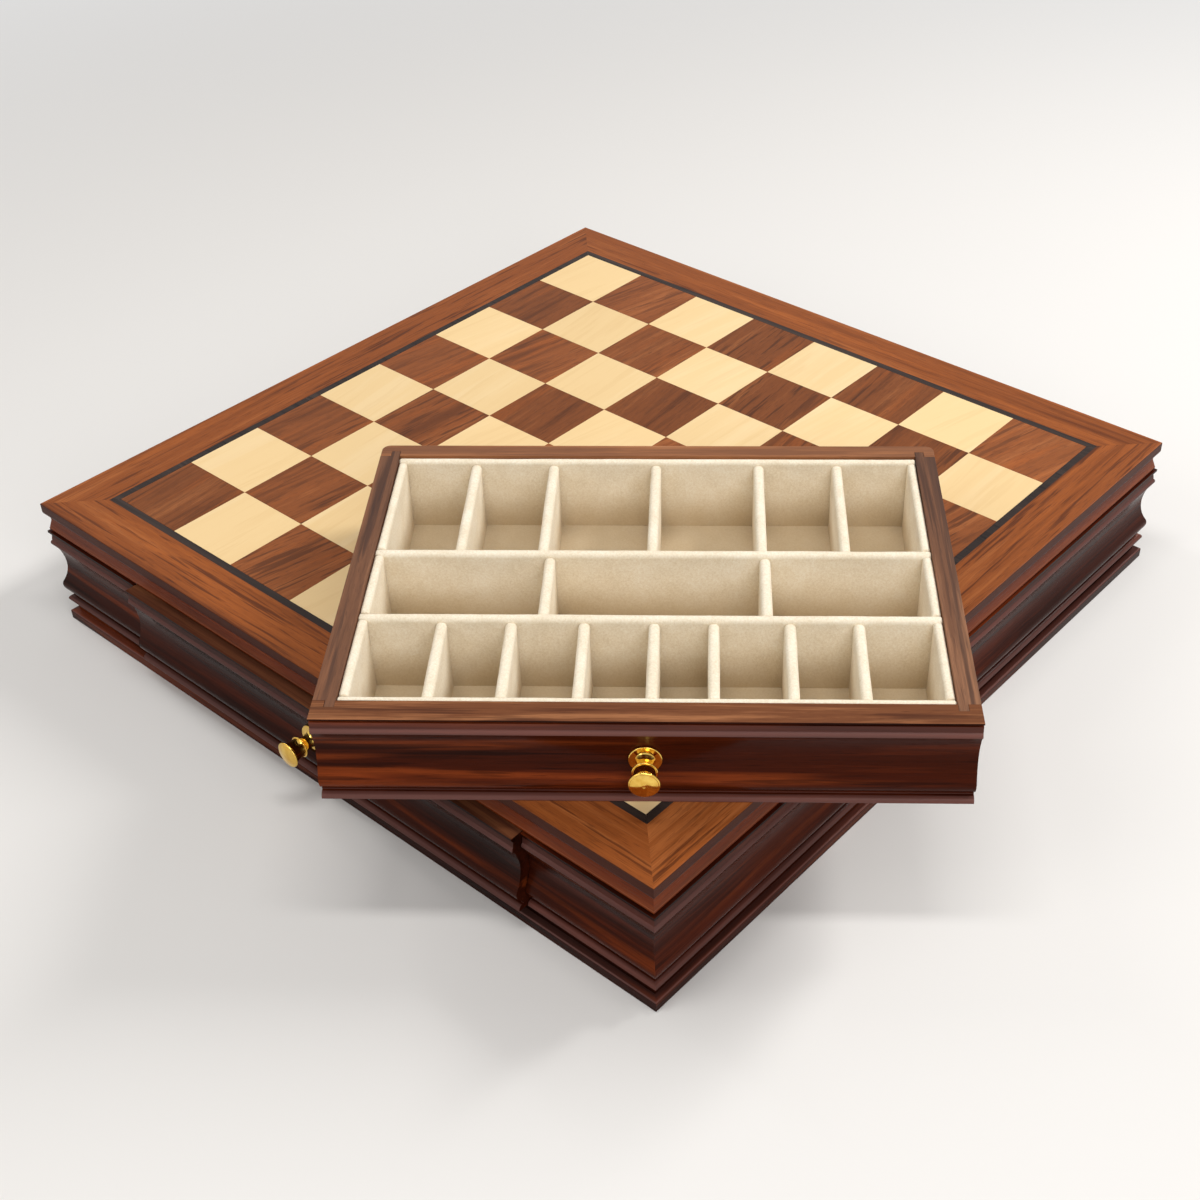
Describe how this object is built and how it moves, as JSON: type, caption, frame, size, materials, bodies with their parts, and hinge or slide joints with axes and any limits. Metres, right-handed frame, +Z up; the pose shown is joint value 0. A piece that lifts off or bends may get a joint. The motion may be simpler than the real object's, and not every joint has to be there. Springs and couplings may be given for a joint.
{
  "type": "chess box with drawers",
  "caption": "Chessboard top on a moulded wooden case with two felt-lined drawers back to back; one drawer is slightly open, the other lies on the board.",
  "frame": {"origin": "centre of the case's underside, on the surface that the box stands on", "axes": "+Z up; -Y is the side with the drawer that is in its bay; +X is the plain side to the right of that drawer; +Y is the side with the empty bay"},
  "size_m": [0.5984, 0.5737, 0.1469],
  "materials": {
    "rosewood": "satin lacquer",
    "dark_rosewood": "satin lacquer",
    "rosewood_squares": "satin lacquer",
    "maple": "satin lacquer",
    "black_line": "satin lacquer",
    "drawer_wood": "satin",
    "plywood": "sanded",
    "felt": "short nap",
    "brass": "polished",
    "screw_steel": "zinc plated"
  },
  "bodies": {
    "case": {"core_panel": "plywood", "light_squares": "maple", "dark_squares": "rosewood_squares", "inlay_line": "black_line", "border_front": "rosewood", "border_right": "rosewood", "border_rear": "rosewood", "border_left": "rosewood", "cornice_front": "rosewood", "cornice_right": "rosewood", "cornice_rear": "rosewood", "cornice_left": "rosewood", "side_panel_right": "dark_rosewood", "side_panel_left": "dark_rosewood", "stile_front_left": "dark_rosewood", "stile_front_right": "dark_rosewood", "stile_rear_left": "dark_rosewood", "stile_rear_right": "dark_rosewood", "plinth_front": "dark_rosewood", "plinth_right": "dark_rosewood", "plinth_rear": "dark_rosewood", "plinth_left": "dark_rosewood", "bottom_panel": "plywood", "foot_batten": "plywood", "centre_partition": "plywood", "guides": "plywood", "kickers": "plywood", "plinth_screws": "screw_steel"},
    "front_drawer": {"front_drawer_front": "dark_rosewood", "front_drawer_right_side": "drawer_wood", "front_drawer_left_side": "drawer_wood", "front_drawer_back": "drawer_wood", "front_drawer_bottom": "plywood", "front_drawer_floor_felt": "felt", "front_drawer_front_liner": "felt", "front_drawer_back_liner": "felt", "front_drawer_side_liners": "felt", "front_drawer_long_divider_1": "felt", "front_drawer_long_divider_2": "felt", "front_drawer_front_row_dividers": "felt", "front_drawer_middle_row_dividers": "felt", "front_drawer_back_row_dividers": "felt", "front_drawer_knob": "brass", "front_drawer_knob_screw": "screw_steel"},
    "loose_drawer": {"loose_drawer_front": "dark_rosewood", "loose_drawer_right_side": "drawer_wood", "loose_drawer_left_side": "drawer_wood", "loose_drawer_back": "drawer_wood", "loose_drawer_bottom": "plywood", "loose_drawer_floor_felt": "felt", "loose_drawer_front_liner": "felt", "loose_drawer_back_liner": "felt", "loose_drawer_side_liners": "felt", "loose_drawer_long_divider_1": "felt", "loose_drawer_long_divider_2": "felt", "loose_drawer_front_row_dividers": "felt", "loose_drawer_middle_row_dividers": "felt", "loose_drawer_back_row_dividers": "felt", "loose_drawer_knob": "brass", "loose_drawer_knob_screw": "screw_steel"}
  },
  "joints": [
    {"name": "front_drawer_slide", "type": "slide", "parent": "case", "child": "front_drawer", "axis": [0, -1, 0], "range_m": [-0.006, 0.245]},
    {"name": "loose_drawer_lift", "type": "slide", "parent": "case", "child": "loose_drawer", "axis": [0, 0, 1], "range_m": [0, 0.1]}
  ]
}
